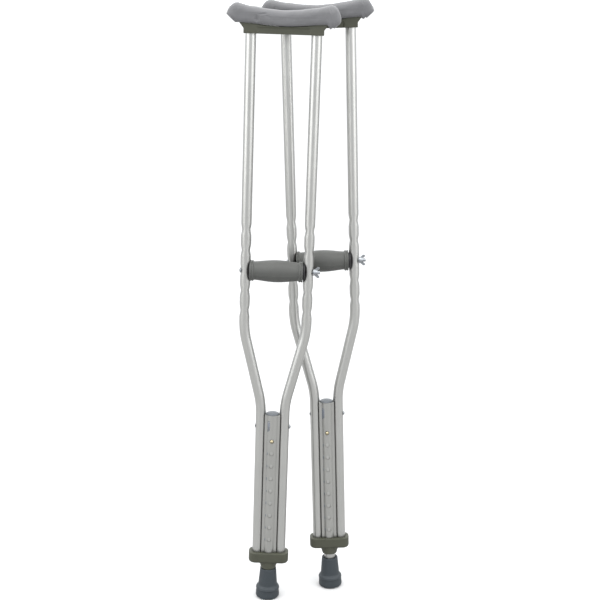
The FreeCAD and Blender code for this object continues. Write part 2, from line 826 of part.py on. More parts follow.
def saddle(crutch):
    body = new_body(crutch.name("saddle"))
    half, flare, depth = cell("saddle_half_width"), cell("saddle_flare"), cell("saddle_depth")
    bottom, side_top = cell("saddle_bottom_height"), cell("saddle_side_height")
    tip, flare_edge = cell("saddle_tip_height"), cell("saddle_flare_edge")
    block = new_sketch(body, "XZ_Plane")
    add_outline(block, [
        (-half, bottom), (half, bottom), (half, side_top), (flare, tip - flare_edge), (flare, tip),
        (-flare, tip), (-flare, tip - flare_edge), (-half, side_top),
    ])
    pad_both_ways(body, block, depth)
    radius = cell("saddle_curve_radius")
    hollow = new_sketch(body, "XZ_Plane")
    add_circle(hollow, radius, 0.0, cell("saddle_mid_height") + radius)
    cut_both_ways(body, hollow, depth * 2)
    edge, inset = cell("saddle_socket_edge"), cell("saddle_recess")
    web = new_sketch(body, "XY_Plane", bottom + cell("saddle_recess_foot"))
    for face in (-1, 1):
        add_box(web, -edge, edge, face * (depth / 2 - inset), face * (depth / 2 + inset))
    cut_down(body, web, cell("saddle_recess_height"))
    sockets = new_sketch(body, "XY_Plane", cell("tube_top_height"))
    for side in (-1, 1):
        add_circle(sockets, cell("tube_diameter") / 2, side * cell("upper_spacing") / 2)
    cut_down(body, sockets, cell("tube_top_height") - bottom)
    crutch.add(body)


def pad_end(droop):
    """Corners of the cushion's right end, from the saddle's tip round to its top."""
    end, high, tip = cell("pad_half_length"), cell("pad_end_top"), cell("saddle_tip_height")
    gap = cell("pad_gap")
    flare = cell("saddle_flare") + gap
    cheek, brow = cell("pad_cheek_inset"), cell("pad_brow_inset")
    return [
        (flare, tip + gap),
        (flare + cell("pad_lip_play"), tip - droop),
        (end - cell("pad_heel_inset"), tip + cell("pad_heel_rise") - droop),
        (end - cheek, tip + cell("pad_cheek_rise") - droop * cell("pad_cheek_droop")),
        (end, tip + cell("pad_tip_rise") - droop * cell("pad_tip_droop")),
        (end - brow, high - cell("pad_brow_drop")),
        (end - cell("pad_crown_inset"), high),
        (end - cell("pad_shoulder_inset"), high - cell("pad_shoulder_drop")),
    ]


def underarm_pad(crutch):
    body = new_body(crutch.name("underarm_pad"))
    gap, mid = cell("pad_gap"), cell("pad_mid_top")
    seat_radius = cell("saddle_curve_radius") - gap
    rise = cell("saddle_tip_height") + gap
    drop = cell("saddle_mid_height") + cell("saddle_curve_radius") - rise
    reach = Size(math.sqrt(seat_radius.number ** 2 - drop.number ** 2),
                 f"sqrt({seat_radius.formula}^2 - {drop.formula}^2)")
    right = pad_end(crutch.pad_droop)
    left = [(-x, z) for x, z in reversed(pad_end(Size(0.0)))]
    top_radius = cell("pad_top_radius")
    side = new_sketch(body, "XZ_Plane")
    add_outline(side, [
        (-reach, rise), (reach, rise, seat_radius), *right,
        (0.0, mid, -top_radius), (*left[0], -top_radius), *left[1:],
    ])
    pad_both_ways(body, side, cell("pad_depth"))
    crutch.add(body)


# ---------------------------------------------------------------- the pair

def build_crutch(crutch):
    underarm_pad(crutch)
    saddle(crutch)
    side_tube(crutch, "bolt_side_tube", -1)
    side_tube(crutch, "nut_side_tube", 1)
    centre_sleeve(crutch)
    sleeve_cap(crutch)
    cross_bolt(crutch)
    cross_nut(crutch)
    yoke(crutch)
    leg_tube(crutch)
    snap_button(crutch, "front_button", -1)
    snap_button(crutch, "rear_button", 1)
    button_spring(crutch)
    rubber_tip(crutch)
    tip_washer(crutch)
    grip_rubber(crutch)
    grip_core(crutch)
    end_cup(crutch, "bolt_side_cup", -1)
    end_cup(crutch, "nut_side_cup", 1)
    grip_bolt(crutch)
    grip_washer(crutch)
    wing_nut(crutch)
    return crutch.parts


pieces = build_crutch(Crutch("left", -1, Size(0.0), cell("left_pad_droop")))
pieces += build_crutch(Crutch("right", 1, cell("right_leg_drop"), Size(0.0)))
doc.recompute()

faulty = [item.Name for item in doc.Objects if "Invalid" in item.State or "Error" in item.State]
faulty += [piece.Label for piece in pieces if piece.Shape.isNull() or not piece.Shape.isValid()]
if faulty:
    raise RuntimeError("these objects failed: " + ", ".join(faulty))

os.makedirs("parts", exist_ok=True)
for piece in pieces:
    piece.Shape.exportStep(f"parts/{piece.Label}.step")
    print(f"{piece.Label:24s} {piece.Shape.Volume / 1000:9.3f} cm3  {len(piece.Shape.Solids)} solid")
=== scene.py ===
import json
import math

import bmesh
import bpy
from mathutils import Matrix, Vector


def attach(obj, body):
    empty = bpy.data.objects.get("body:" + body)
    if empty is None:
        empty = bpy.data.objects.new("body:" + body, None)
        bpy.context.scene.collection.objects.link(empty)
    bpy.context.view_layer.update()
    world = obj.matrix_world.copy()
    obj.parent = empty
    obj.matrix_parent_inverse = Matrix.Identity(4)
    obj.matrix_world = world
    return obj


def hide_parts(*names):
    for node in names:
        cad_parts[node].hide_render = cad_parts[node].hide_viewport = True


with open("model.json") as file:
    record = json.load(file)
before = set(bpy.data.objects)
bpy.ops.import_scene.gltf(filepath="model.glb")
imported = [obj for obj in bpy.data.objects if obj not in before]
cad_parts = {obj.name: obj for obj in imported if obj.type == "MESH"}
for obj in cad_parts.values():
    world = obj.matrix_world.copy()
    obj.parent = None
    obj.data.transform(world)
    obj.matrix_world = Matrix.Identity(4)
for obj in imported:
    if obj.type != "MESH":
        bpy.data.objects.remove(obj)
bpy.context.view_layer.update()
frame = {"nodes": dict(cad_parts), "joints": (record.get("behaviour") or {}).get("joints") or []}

MM = 0.001
NODES = frame["nodes"]
JOINTS = {j["name"]: j for j in frame["joints"]}

# sizes and places shared with the CAD model, in mm along and across the crutch
GRIP_HEIGHT = 656.0
NUT_REACH = 70.0
TUBE_RADIUS, TUBE_WALL = 9.525, 1.5
NARROW_X, WIDE_X = 22.45, 57.8
BEND_LOW, BEND_LOW_END, BEND_HIGH, BEND_HIGH_END = 378.0, 419.1, 520.4, 561.5
TUBE_FOOT, TUBE_TOP = 81.0, 1095.0
BEND_RADIUS, FORK_SLOPE = 170.0, math.radians(14.0)
BOLT_HEIGHT, BOLT_HOLE_RADIUS = 354.0, 2.5
HOLE_PITCH, GRIP_HOLE_RADIUS = 38.1, 3.4
PINCH_DEPTH, PINCH_REACH, PINCH_BULGE = 1.5, 13.0, 0.15
SLEEVE_RADIUS, SLEEVE_TOP = 12.7, 378.5
COLLAR_RADIUS, BAND_FOOT = 14.6, 75.0
FIRST_HOLE, LEG_HOLE_PITCH, LEG_HOLES = 327.0, 25.4, 9
LEG_DROP = {"left": 0.0, "right": 9.5}


# ---------------------------------------------------------------- helpers

class Crutch:
    """One crutch of the pair, with the matrix from its own axes (mm) to the shared frame (m)."""

    def __init__(self, side):
        self.side = side
        spin = JOINTS[side + "_wing_nut_spin"]
        across = Vector(spin["axis"]).normalized()
        up = -Vector(JOINTS[side + "_leg_slide"]["axis"]).normalized()
        back = up.cross(across)
        grip = Vector(spin["pos_m"]) - across * NUT_REACH * MM
        base = grip - up * GRIP_HEIGHT * MM
        turn = Matrix((across, back, up)).transposed()
        self.lean = math.atan2(up.x, up.z)
        self.matrix = Matrix.Translation(base) @ turn.to_4x4() @ Matrix.Scale(MM, 4)
        self.drop = LEG_DROP[side]

    def name(self, piece):
        return f"{self.side}_{piece}"


def link(name, mesh):
    obj = bpy.data.objects.new(name, mesh)
    bpy.context.scene.collection.objects.link(obj)
    return obj


def bake(obj):
    """Apply an object's modifiers to its mesh."""
    graph = bpy.context.evaluated_depsgraph_get()
    mesh = bpy.data.meshes.new_from_object(obj.evaluated_get(graph), depsgraph=graph)
    obj.modifiers.clear()
    obj.data = mesh
    return obj


def smooth(obj):
    for face in obj.data.polygons:
        face.use_smooth = True
    return obj


def sheet_faces(rows, columns, wrap_rows=False, wrap_columns=True):
    """Quads joining a grid of points held row by row."""
    faces = []
    for r in range(rows if wrap_rows else rows - 1):
        for c in range(columns if wrap_columns else columns - 1):
            nr, nc = (r + 1) % rows, (c + 1) % columns
            faces.append((r * columns + c, r * columns + nc, nr * columns + nc, nr * columns + c))
    return faces


def build(crutch, name, points, faces, uvs=None):
    """A mesh object from points in the crutch's own mm, with its faces turned outward."""
    mesh = bpy.data.meshes.new(crutch.name(name))
    mesh.from_pydata([crutch.matrix @ Vector(p) for p in points], [], faces)
    if uvs:
        layer = mesh.uv_layers.new(name="UVMap")
        for loop in mesh.loops:
            layer.data[loop.index].uv = uvs[loop.vertex_index]
    work = bmesh.new()
    work.from_mesh(mesh)
    bmesh.ops.recalc_face_normals(work, faces=work.faces)
    work.to_mesh(mesh)
    work.free()
    return smooth(link(crutch.name(name), mesh))


def cut(obj, cutter):
    """Take the cutter's volume out of a piece."""
    boolean = obj.modifiers.new("cut", "BOOLEAN")
    boolean.operation = "DIFFERENCE"
    boolean.solver = "EXACT"
    boolean.object = cutter
    bake(obj)
    bpy.data.objects.remove(cutter)
    return obj


def rods(crutch, name, runs, segments):
    """Cylinders from one point to another, joined as one cutter. Each run is (start, end, radius)."""
    points, faces = [], []
    for start, end, radius in runs:
        start, end = Vector(start), Vector(end)
        axis = (end - start).normalized()
        side = axis.orthogonal().normalized()
        other = axis.cross(side)
        first = len(points)
        for centre in (start, end):
            for k in range(segments):
                a = 2 * math.pi * k / segments
                points.append(centre + (side * math.cos(a) + other * math.sin(a)) * radius)
        low = list(range(first, first + segments))
        high = [k + segments for k in low]
        faces += [low[::-1], high]
        for k in range(segments):
            after = (k + 1) % segments
            faces.append((low[k], low[after], high[after], high[k]))
    return build(crutch, name, points, faces)


def finish_piece(obj, body, slot, material, *nodes):
    """Give a piece its body and its material, and hide the CAD nodes it stands for. The slot is not used.
    """
    obj.data.materials.clear()
    obj.data.materials.append(material)
    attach(obj, body)
    if nodes:
        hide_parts(*nodes)
    return obj


def revolve(crutch, name, profile, axis, centre, segments):
    """Turn a closed profile of (radius, along) pairs about the crutch's X or Z axis."""
    points = []
    for radius, along in profile:
        for k in range(segments):
            a = 2 * math.pi * k / segments
            u, v = radius * math.cos(a), radius * math.sin(a)
            offset = (along, u, v) if axis == "X" else (u, v, along)
            points.append([c + o for c, o in zip(centre, offset)])
    return build(crutch, name, points, sheet_faces(len(profile), segments, wrap_rows=True))


def remould(crutch, node, piece, voxel, passes, extra=None):
    """A copy of a CAD solid, with any extra mesh grown into it, and the small soft radii of a moulding."""
    mesh = NODES[crutch.name(node)].data.copy()
    work = bmesh.new()
    work.from_mesh(mesh)
    bmesh.ops.remove_doubles(work, verts=work.verts, dist=1e-6)
    if extra:
        work.from_mesh(extra.data)
        bpy.data.objects.remove(extra)
    work.to_mesh(mesh)
    work.free()
    obj = link(crutch.name(piece), mesh)
    remesh = obj.modifiers.new("remesh", "REMESH")
    remesh.mode = "VOXEL"
    remesh.voxel_size = voxel * MM
    relax = obj.modifiers.new("relax", "SMOOTH")
    relax.factor = 0.5
    relax.iterations = passes
    return smooth(bake(obj))


# the yoke's webs: half the angle they fan over and the steps across and down them, then how far they
# stand out at the edge and how much more in the middle, their height per mm of that, and their root
WEB_FAN, WEB_STEPS, WEB_CURVE = math.radians(64), 16, 8
WEB_EDGE, WEB_SWELL, WEB_TALL, WEB_ROOT = 0.4, 6.0, 1.95, 2.0


def collar_webs(crutch):
    """The two concave webs that run from the yoke's band into the sides of its collar."""
    root, top = COLLAR_RADIUS - WEB_ROOT, BAND_FOOT + WEB_ROOT
    wide = WEB_CURVE + 4
    points, faces = [], []
    for side in (-1, 1):
        first = len(points)
        for k in range(WEB_STEPS + 1):
            a = WEB_FAN * (2 * k / WEB_STEPS - 1)
            reach = WEB_EDGE + WEB_SWELL * math.cos(a * math.pi / 2 / WEB_FAN)
            depth = WEB_TALL * reach
            rows = [(root, top), (COLLAR_RADIUS + reach, top)]
            for c in range(WEB_CURVE + 1):
                b = math.pi / 2 * c / WEB_CURVE
                rows.append((COLLAR_RADIUS + reach * (2 - math.sin(b) - c / WEB_CURVE) / 2,
                             BAND_FOOT - depth * (1 - math.cos(b) + c / WEB_CURVE) / 2))
            rows.append((root, BAND_FOOT - depth))
            points += [(side * radius * math.cos(a), radius * math.sin(a), z) for radius, z in rows]
        faces += [tuple(first + i for i in face) for face in sheet_faces(WEB_STEPS + 1, wide)]
        for row in (0, WEB_STEPS):
            start = first + row * wide
            faces.append(tuple(range(start, start + wide)))
    return build(crutch, "collar_webs", points, faces)


# ---------------------------------------------------------------- materials

class Surface:
    """A procedural material: layers of noise over one Principled shader."""

    def __init__(self, name, colour, roughness, metallic=0.0, coords="Object", turn=0.0):
        self.material = bpy.data.materials.new(name)
        self.material.use_nodes = True
        self.tree = self.material.node_tree
        self.shader = self.tree.nodes["Principled BSDF"]
        self.shader.inputs["Metallic"].default_value = metallic
        self.colour, self.roughness = colour, roughness
        source = self.tree.nodes.new("ShaderNodeTexCoord")
        lean = self.tree.nodes.new("ShaderNodeMapping")
        lean.inputs["Rotation"].default_value = (0.0, turn, 0.0)
        self.tree.links.new(source.outputs[coords], lean.inputs["Vector"])
        self.coords = lean.outputs["Vector"]
        self.height = None
        self.rough = None
        self.tint = None

    def noise(self, scale, detail=4.0, stretch=(1.0, 1.0, 1.0), low=0.35, high=0.65):
        """Fractal noise spread to 0..1; scale is in features per metre."""
        size = self.tree.nodes.new("ShaderNodeMapping")
        size.inputs["Scale"].default_value = [s * scale for s in stretch]
        self.tree.links.new(self.coords, size.inputs["Vector"])
        node = self.tree.nodes.new("ShaderNodeTexNoise")
        node.inputs["Scale"].default_value = 1.0
        node.inputs["Detail"].default_value = detail
        self.tree.links.new(size.outputs["Vector"], node.inputs["Vector"])
        return self.spread(node.outputs["Fac"], low, high)

    def pits(self, scale, low, high):
        """Small round pores or pebbles; scale is in cells per metre."""
        node = self.tree.nodes.new("ShaderNodeTexVoronoi")
        node.inputs["Scale"].default_value = scale
        self.tree.links.new(self.coords, node.inputs["Vector"])
        return self.spread(node.outputs["Distance"], low, high)

    def edges(self, low=0.51, high=0.58):
        """Where the surface is convex, as on a rubbed corner."""
        node = self.tree.nodes.new("ShaderNodeNewGeometry")
        return self.spread(node.outputs["Pointiness"], low, high)

    def spread(self, value, low, high, to_low=0.0, to_high=1.0):
        node = self.tree.nodes.new("ShaderNodeMapRange")
        for key, number in (("From Min", low), ("From Max", high), ("To Min", to_low), ("To Max", to_high)):
            node.inputs[key].default_value = number
        self.tree.links.new(value, node.inputs["Value"])
        return node.outputs["Result"]

    def shade(self, mask, colour, strength=1.0):
        """Blend the colour towards another one where the mask is high."""
        node = self.tree.nodes.new("ShaderNodeMix")
        node.data_type = "RGBA"
        if self.tint is None:
            node.inputs["A"].default_value = (*self.colour, 1.0)
        else:
            self.tree.links.new(self.tint, node.inputs["A"])
        node.inputs["B"].default_value = (*colour, 1.0)
        self.tree.links.new(self.spread(mask, 0.0, 1.0, 0.0, strength), node.inputs["Factor"])
        self.tint = node.outputs["Result"]
        return self

    def roughen(self, mask, swing):
        """Let the roughness rise by the swing where the mask is high."""
        value = self.spread(mask, 0.0, 1.0, self.roughness if self.rough is None else 0.0,
                            self.roughness + swing if self.rough is None else swing)
        if self.rough is not None:
            add = self.tree.nodes.new("ShaderNodeMath")
            self.tree.links.new(self.rough, add.inputs[0])
            self.tree.links.new(value, add.inputs[1])
            value = add.outputs[0]
        self.rough = value
        return self

    def raise_by(self, mask, depth):
        """Add relief of this depth in mm."""
        node = self.tree.nodes.new("ShaderNodeBump")
        node.inputs["Strength"].default_value = 1.0
        node.inputs["Distance"].default_value = depth * MM
        self.tree.links.new(mask, node.inputs["Height"])
        if self.height is not None:
            self.tree.links.new(self.height, node.inputs["Normal"])
        self.height = node.outputs["Normal"]
        return self

    def done(self):
        for output, key in ((self.tint, "Base Color"), (self.rough, "Roughness"), (self.height, "Normal")):
            self.tree.links.new(output, self.shader.inputs[key])
        return self.material


def toned(colour, factor):
    return tuple(c * factor for c in colour)


def drawn_metal(name, colour, roughness, coords="Object", turn=0.0, lines=(1500.0, 1500.0, 14.0)):
    """Satin aluminium with the long fine lines of drawing or extrusion, and a few handling marks."""
    made = Surface(name, colour, roughness, 1.0, coords, turn)
    draw = made.noise(1.0, 3.0, lines)
    broad = made.noise(9.0, 3.0)
    marks = made.noise(140.0, 5.0, (1.0, 1.0, 0.3), 0.62, 0.72)
    made.shade(draw, toned(colour, 0.90), 0.7).shade(broad, toned(colour, 1.07), 0.6)
    made.shade(marks, toned(colour, 0.8), 0.25)
    made.roughen(draw, 0.07).roughen(marks, 0.10)
    made.raise_by(draw, 0.006).raise_by(made.noise(55.0, 2.0), 0.02)
    return made.done()


def bright_metal(name, colour, roughness):
    """Plated steel: faintly orange-peeled, with darker tarnish."""
    made = Surface(name, colour, roughness, 1.0)
    peel = made.noise(900.0, 4.0)
    tarnish = made.noise(180.0, 4.0, low=0.5, high=0.72)
    made.shade(tarnish, toned(colour, 0.6), 0.6).shade(peel, toned(colour, 1.1), 0.4)
    made.roughen(tarnish, 0.18).roughen(peel, 0.06).raise_by(peel, 0.02)
    return made.done()


def moulded(name, colour, roughness, grain=1300.0, depth=0.05, rubbed=1.35):
    """Moulded plastic or hard rubber with an etched grain, flow mottling and rubbed corners."""
    made = Surface(name, colour, roughness)
    texture = made.noise(grain, 4.0)
    mottle = made.noise(45.0, 4.0, low=0.4, high=0.7)
    dust = made.noise(380.0, 5.0, low=0.58, high=0.72)
    made.shade(mottle, toned(colour, 0.86), 0.8).shade(dust, toned(colour, 1.3), 0.25)
    made.shade(made.edges(), toned(colour, rubbed), 0.5)
    made.roughen(texture, 0.12).roughen(dust, 0.10)
    made.raise_by(texture, depth).raise_by(mottle, 0.08)
    made.shader.inputs["Specular IOR Level"].default_value = 0.35
    return made.done()


def foam_skin(name, colour, roughness):
    """Foam rubber under its own skin: stretched streaks along the pad, fine pores and scuffs."""
    made = Surface(name, colour, roughness)
    streaks = made.noise(1.0, 4.0, (16.0, 300.0, 300.0), 0.38, 0.66)
    cloud = made.noise(28.0, 4.0, low=0.38, high=0.66)
    pores = made.pits(1100.0, 0.0, 0.55)
    made.shade(cloud, toned(colour, 0.84), 0.9).shade(streaks, toned(colour, 1.22), 0.5)
    made.shade(made.noise(260.0, 5.0, low=0.6, high=0.75), toned(colour, 1.4), 0.3)
    made.roughen(streaks, 0.08).roughen(pores, 0.08)
    made.raise_by(pores, 0.05).raise_by(streaks, 0.12).raise_by(cloud, 0.25)
    made.shader.inputs["Sheen Weight"].default_value = 0.12
    made.shader.inputs["Sheen Roughness"].default_value = 0.5
    return made.done()


FOAM = foam_skin("pad_foam", (0.061, 0.061, 0.064), 0.66)
PLASTIC = moulded("moulded_plastic", (0.025, 0.026, 0.016), 0.52)
BLACK = moulded("black_plastic", (0.012, 0.012, 0.013), 0.42, rubbed=2.5)
CAP = moulded("cap_plastic", (0.055, 0.061, 0.068), 0.34, depth=0.02)
TIP = moulded("tip_rubber", (0.012, 0.0165, 0.020), 0.56, grain=1000.0, depth=0.06)
GRIP = moulded("grip_rubber", (0.037, 0.038, 0.035), 0.50, grain=1100.0, depth=0.06)
ZINC = bright_metal("zinc_steel", (0.20, 0.21, 0.22), 0.26)
BRASS = bright_metal("button_brass", (0.27, 0.235, 0.155), 0.24)
SPRING = bright_metal("spring_steel", (0.34, 0.34, 0.35), 0.32)
TUBE = drawn_metal("tube_aluminium", (0.305, 0.305, 0.294), 0.31, "UV", lines=(1300.0, 9.0, 1.0))
INK = moulded("printed_ink", (0.035, 0.05, 0.085), 0.5, grain=2400.0, depth=0.01, rubbed=1.1)


# ---------------------------------------------------------------- underarm pad

# the cushion's arc and its reach around it, then where its top, underside and depth begin to round off
PAD_RADIUS, PAD_LEVEL = 316.0, 1108.5
PAD_RINGS, PAD_SIDES = 170, 96
PAD_DEPTH, PAD_TOP, PAD_UNDER = 21.0, 13.8, 14.0
TOP_TURN, UNDER_TURN, UNDER_STEP, DEPTH_TURN = 84.0, 79.6, 1.8, 80.0
END_ROUND, END_POWER, DEPTH_POWER = 5.0, 2.2, 2.6
TOP_POWER, UNDER_POWER = 2.5, 4.4
# the lips hang down in front of and behind the saddle, and begin between these half-depths
LIP_INSIDE, LIP_OUTSIDE, LIP_POWER = 15.4, 16.8, 0.4
LIP_LEAST, LIP_DROP, LIP_END = 1.0, 7.0, 80.0
END_RISE, HANGING_RISE = 9.6, 0.12
# where a hanging end turns down over the saddle's tip, and how much sooner its underside rises again
HANG_START, HANG_FULL, HANG_LEAD = 71.5, 75.5, 4.0
# the left cushion's marks: one hollow, and creases by their middle, their level and their reach
HOLLOW_X, HOLLOW_LEVEL, HOLLOW_WIDE, HOLLOW_TALL, HOLLOW_DEPTH = -47.0, -6.0, 3.2, 4.5, 3.0
CREASES = ((-38.0, 3.5, 7.0), (-30.0, 1.2, 6.0), (-33.0, 5.6, 5.0))
CREASE_SLOPE, CREASE_WIDTH, CREASE_DEPTH = 0.12, 0.9, 1.7
WAVE_DEPTH, RIPPLE_DEPTH = 0.30, 0.18
# the rings stop just short of each end's point; the underside, below this sine, lies on the saddle
RING_REACH, UNDERSIDE = 0.9995, -0.75
# each end of each cushion: reach along the arc, level of its outermost point, and how far it hangs
PAD_ENDS = {
    ("left", -1): (99.2, -12.0, 0.0),
    ("left", 1): (97.4, -7.0, 8.0),
    ("right", -1): (100.2, -9.5, 0.0),
    ("right", 1): (97.4, -14.5, 4.5),
}


def ease(value, start, end):
    t = min(max((value - start) / (end - start), 0.0), 1.0)
    return t * t * (3 - 2 * t)


def shrink(distance, start, end, power):
    """1 up to the start, then down to 0 at the end along a rounded corner."""
    t = min(max((distance - start) / (end - start), 0.0), 1.0)
    return max(1.0 - t ** power, 0.0) ** (1.0 / power)


def pad_section(along, end, tip, droop):
    """Upper reach, lower reach, lip drop and half-depth of the cushion, this far along its arc."""
    d = abs(along)
    high = tip + (PAD_TOP - tip) * shrink(d, TOP_TURN, end, END_POWER)
    past = ease(d, UNDER_TURN, UNDER_TURN + UNDER_STEP)
    start = LIP_END - HANG_LEAD if droop else LIP_END
    rise = (END_RISE + HANGING_RISE * droop) * min(max((d - start) / (end - start), 0.0), 1.0)
    low = -PAD_UNDER - (LIP_DROP + droop) * past + rise
    low = tip + (low - tip) * shrink(d, end - END_ROUND, end, END_POWER)
    lip = max(LIP_DROP * min(d / LIP_END, 1.0) ** 4 + droop * ease(d, HANG_START, HANG_FULL) - rise, 0.0)
    depth = PAD_DEPTH * shrink(d, DEPTH_TURN, end, DEPTH_POWER)
    return high, low, LIP_LEAST + lip * (1.0 - past), depth


def pad_dent(x, y, n, marked):
    """How far the skin is pressed in here: a shallow wave, and on a marked front a hollow and creases."""
    wave = WAVE_DEPTH * math.sin(x * 0.083 + n * 0.11)
    wave += RIPPLE_DEPTH * math.sin(x * 0.21 - n * 0.3 + y * 0.05)
    if not marked or y >= 0:
        return wave
    across, above = (x - HOLLOW_X) / HOLLOW_WIDE, (n - HOLLOW_LEVEL) / HOLLOW_TALL
    marks = HOLLOW_DEPTH * math.exp(-across ** 2 - above ** 2)
    for middle, level, reach in CREASES:
        line = level + CREASE_SLOPE * (x - middle)
        marks += CREASE_DEPTH * math.exp(-((x - middle) / reach) ** 2 - ((n - line) / CREASE_WIDTH) ** 2)
    return marks + wave


def underarm_pad(crutch):
    """The foam cushion, as rounded rings along its arc, with lips that hang over the saddle."""
    marked = crutch.side == "left"
    points = []
    for r in range(PAD_RINGS):
        t = -1.0 + 2.0 * r / (PAD_RINGS - 1)
        end, tip, droop = PAD_ENDS[crutch.side, 1 if t > 0 else -1]
        along = end * math.sin(t * math.pi / 2) * RING_REACH
        high, low, drop, depth = pad_section(along, end, tip, droop)
        middle, half = (high + low) / 2, (high - low) / 2
        turn = along / PAD_RADIUS
        for k in range(PAD_SIDES):
            a = 2 * math.pi * k / PAD_SIDES
            c, s = math.cos(a), math.sin(a)
            power = 2.0 / (TOP_POWER if s > 0 else UNDER_POWER)
            y = depth * math.copysign(abs(c) ** power, c)
            n = middle + half * math.copysign(abs(s) ** power, s)
            n -= drop * ease(abs(y), LIP_INSIDE, LIP_OUTSIDE) * max(-s, 0.0) ** LIP_POWER
            x = (PAD_RADIUS - n) * math.sin(turn)
            z = PAD_LEVEL + PAD_RADIUS - (PAD_RADIUS - n) * math.cos(turn)
            push = 0.0 if s < UNDERSIDE else pad_dent(x, y, n, marked) * min(1.0, depth / PAD_DEPTH)
            y -= math.copysign(push * abs(c), c)
            z -= push * max(s, 0.0)
            points.append((x, y, z))
    faces = sheet_faces(PAD_RINGS, PAD_SIDES)
    last = (PAD_RINGS - 1) * PAD_SIDES
    faces += [list(range(PAD_SIDES)), list(range(last, last + PAD_SIDES))]
    pad = build(crutch, "pad_cushion", points, faces)
    finish_piece(pad, crutch.name("frame"), "pad_foam", FOAM, crutch.name("underarm_pad"))


# ---------------------------------------------------------------- handgrip

# half the sleeve's length, the factor that shortens it to fit between the cups, and its place across
GRIP_HALF, GRIP_FIT, GRIP_STEPS, GRIP_SIDES = 49.5, 0.985, 160, 128
GRIP_SHIFT = {"left": -1.2, "right": -2.0}
NECK_RADIUS, BARREL_SWELL, BARREL_END, BARREL_POWER = 17.0, 3.5, 41.5, 1.35
BEAD_START, BEAD_FULL, BEAD_RISE = 40.8, 43.4, 2.3
GROOVE_PLACE, GROOVE_WIDTH, GROOVE_DEPTH = 46.0, 0.6, 1.3
END_RADIUS, BORE_CLEARANCE = 1.3, 0.05
# the mould's parting line, a ridge on the skin that fades out where the beads begin
PARTING_ANGLE, PARTING_WIDTH, PARTING_RISE = -0.30, 0.7, 0.42
PARTING_FADE, PARTING_END, SKIN_RADIUS = 38.0, 42.0, 15.0
# the ways for the two side tubes
TUBE_WAY_RADIUS, TUBE_WAY_REACH = 10.15, 30.0


def grip_radius(x):
    """Outer radius of the handgrip this far from its middle."""
    d = abs(x)
    radius = NECK_RADIUS + BARREL_SWELL * math.cos(min(d / BARREL_END, 1.0) * math.pi / 2) ** BARREL_POWER
    radius += BEAD_RISE * ease(d, BEAD_START, BEAD_FULL)
    radius -= GROOVE_DEPTH * math.exp(-((d - GROOVE_PLACE) / GROOVE_WIDTH) ** 2)
    past = max(d - (GRIP_HALF - END_RADIUS), 0.0) / END_RADIUS
    return radius - END_RADIUS * (1 - math.sqrt(max(1 - past ** 2, 0.0)))


def handgrip(crutch):
    """The rubber sleeve of the handgrip, with its parting line and the ways for the side tubes."""
    inward = crutch.matrix.inverted()
    core = [inward @ v.co for v in NODES[crutch.name("grip_rubber")].data.vertices]
    bore = min(math.hypot(p.y, p.z - GRIP_HEIGHT) for p in core) + BORE_CLEARANCE
    shift = GRIP_SHIFT[crutch.side]
    outer = []
    for k in range(GRIP_STEPS + 1):
        x = -GRIP_HALF + 2 * GRIP_HALF * k / GRIP_STEPS
        outer.append((grip_radius(x), x * GRIP_FIT + shift))
    profile = outer + [(bore, outer[-1][1]), (bore, outer[0][1])]
    rubber = revolve(crutch, "grip_sleeve", profile, "X", (0.0, 0.0, GRIP_HEIGHT), GRIP_SIDES)
    for vertex in rubber.data.vertices:
        p = inward @ vertex.co
        x, y, z = p.x - shift, p.y, p.z - GRIP_HEIGHT
        radius = math.hypot(y, z)
        if radius < SKIN_RADIUS:
            continue
        off_line = (math.atan2(z, abs(y)) - PARTING_ANGLE) * radius
        ridge = PARTING_RISE * math.exp(-(off_line / PARTING_WIDTH) ** 2)
        push = 1.0 + ridge * (1 - ease(abs(x), PARTING_FADE, PARTING_END)) / radius
        vertex.co = crutch.matrix @ Vector((p.x, y * push, GRIP_HEIGHT + z * push))
    low, high = GRIP_HEIGHT - TUBE_WAY_REACH, GRIP_HEIGHT + TUBE_WAY_REACH
    ways = [((x, 0, low), (x, 0, high), TUBE_WAY_RADIUS) for x in (-WIDE_X, WIDE_X)]
    cut(rubber, rods(crutch, "way_cutter", ways, 96))
    finish_piece(smooth(rubber), crutch.name("grip"), "grip_rubber", GRIP, crutch.name("grip_rubber"))


# ---------------------------------------------------------------- side tubes

TUBE_SIDES = 64
PINCH_STEP, BEND_STEP, STRAIGHT_STEP, BEND_MARGIN = 1.6, 4.0, 12.0, 5.0
CUTTER_REACH = 16.0


def tube_line(height):
    """How far out the middle of a side tube is at this height, and its slope there."""
    if height <= BEND_LOW:
        return NARROW_X, 0.0
    if height <= BEND_LOW_END:
        rise = height - BEND_LOW
        across = math.sqrt(BEND_RADIUS ** 2 - rise ** 2)
        return NARROW_X + BEND_RADIUS - across, rise / across
    if height <= BEND_HIGH:
        start = NARROW_X + BEND_RADIUS * (1 - math.cos(FORK_SLOPE))
        return start + (height - BEND_LOW_END) * math.tan(FORK_SLOPE), math.tan(FORK_SLOPE)
    if height < BEND_HIGH_END:
        fall = BEND_HIGH_END - height
        across = math.sqrt(BEND_RADIUS ** 2 - fall ** 2)
        return WIDE_X - BEND_RADIUS + across, fall / across
    return WIDE_X, 0.0


def tube_heights():
    """Heights of the tube's rings, closest at the pinches and widest apart on the straights."""
    heights, z = [], TUBE_FOOT
    while z < TUBE_TOP:
        heights.append(z)
        if abs(z - GRIP_HEIGHT) < 2.5 * HOLE_PITCH:
            z += PINCH_STEP
        elif BEND_LOW - BEND_MARGIN < z < BEND_HIGH_END + BEND_MARGIN:
            z += BEND_STEP
        else:
            z += STRAIGHT_STEP
    return heights + [TUBE_TOP]


